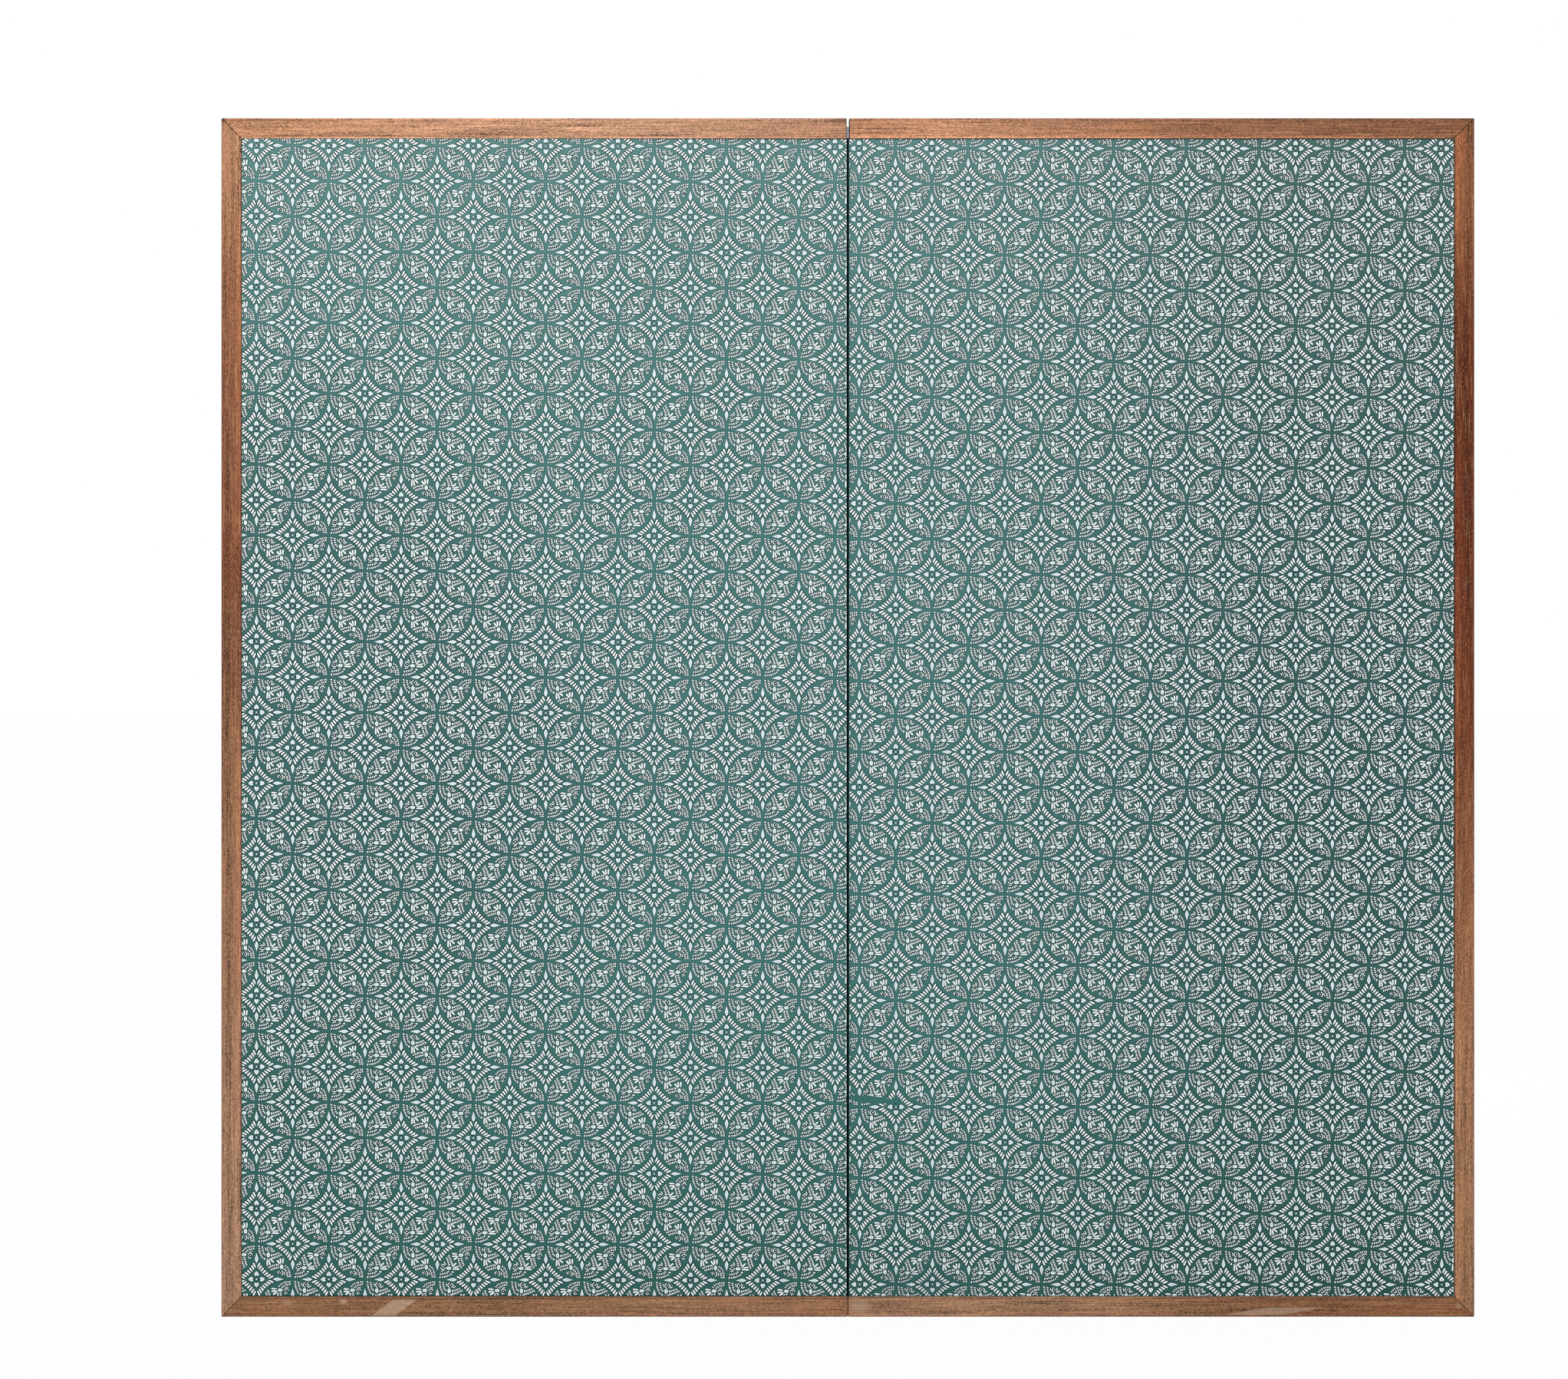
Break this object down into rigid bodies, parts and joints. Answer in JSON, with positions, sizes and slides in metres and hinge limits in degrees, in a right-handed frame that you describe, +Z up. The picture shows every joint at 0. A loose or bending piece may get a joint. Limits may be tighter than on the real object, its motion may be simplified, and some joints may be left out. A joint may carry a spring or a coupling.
{
  "type": "folding screen",
  "caption": "Flat-standing hinged folding screen of papered lattice panels with a mitred wooden frame and a printed back, on paper strip hinges that fold both ways.",
  "frame": {"origin": "on the floor, midway between the two panels and midway through their thickness", "axes": "+X across the opened screen towards the right panel as its patterned back is seen, +Y from the patterned back to the front, +Z up"},
  "size_m": [1.809, 0.021, 1.73],
  "materials": {
    "frame_wood": "plain wood, satin, lightly worn",
    "lattice_wood": "sawn softwood, matt",
    "lining_paper": "pasted paper, matt",
    "printed_paper": "green-blue printed paper with white strokes, matt",
    "hinge_paper": "dark paper, matt",
    "front_paper": "plain paper, matt",
    "border_cloth": "plain woven cloth, matt"
  },
  "bodies": {
    "odd_strips": {"hinge_strip_1": "hinge_paper", "hinge_strip_3": "hinge_paper", "hinge_strip_5": "hinge_paper"},
    "left_panel": {"left_frame_top": "frame_wood", "left_frame_bottom": "frame_wood", "left_frame_side": "frame_wood", "left_key_top": "frame_wood", "left_key_bottom": "frame_wood", "left_core_hinge_stile": "lattice_wood", "left_core_outer_stile": "lattice_wood", "left_core_top_rail": "lattice_wood", "left_core_bottom_rail": "lattice_wood", "left_core_uprights": "lattice_wood", "left_core_levels": "lattice_wood", "left_back_lining": "lining_paper", "left_front_lining": "lining_paper", "left_edge_paper": "printed_paper", "left_back_paper": "printed_paper", "left_front_paper": "front_paper", "left_border_top": "border_cloth", "left_border_bottom": "border_cloth", "left_border_side": "border_cloth", "left_flap_1": "lining_paper", "left_flap_2": "lining_paper", "left_flap_3": "lining_paper", "left_flap_4": "lining_paper", "left_flap_5": "lining_paper", "left_flap_6": "lining_paper"},
    "right_panel": {"right_frame_top": "frame_wood", "right_frame_bottom": "frame_wood", "right_frame_side": "frame_wood", "right_key_top": "frame_wood", "right_key_bottom": "frame_wood", "right_core_hinge_stile": "lattice_wood", "right_core_outer_stile": "lattice_wood", "right_core_top_rail": "lattice_wood", "right_core_bottom_rail": "lattice_wood", "right_core_uprights": "lattice_wood", "right_core_levels": "lattice_wood", "right_back_lining": "lining_paper", "right_front_lining": "lining_paper", "right_edge_paper": "printed_paper", "right_back_paper": "printed_paper", "right_front_paper": "front_paper", "right_border_top": "border_cloth", "right_border_bottom": "border_cloth", "right_border_side": "border_cloth", "right_flap_1": "lining_paper", "right_flap_2": "lining_paper", "right_flap_3": "lining_paper", "right_flap_4": "lining_paper", "right_flap_5": "lining_paper", "right_flap_6": "lining_paper"},
    "even_strips": {"hinge_strip_2": "hinge_paper", "hinge_strip_4": "hinge_paper", "hinge_strip_6": "hinge_paper"}
  },
  "joints": [
    {"name": "fold_inward", "type": "hinge", "parent": "odd_strips", "child": "left_panel", "pos_m": [0, 0.01065, 0], "axis": [0, 0, -1], "range_deg": [0, 180]},
    {"name": "fold_outward", "type": "hinge", "parent": "odd_strips", "child": "right_panel", "pos_m": [0, -0.01065, 0], "axis": [0, 0, -1], "range_deg": [0, 180]},
    {"name": "even_strips_turn", "type": "hinge", "parent": "left_panel", "child": "even_strips", "pos_m": [0, -0.01065, 0], "axis": [0, 0, -1], "range_deg": [0, 180]}
  ],
  "couplings": [
    {"joint": "even_strips_turn", "follows": "fold_outward", "ratio": 1}
  ]
}
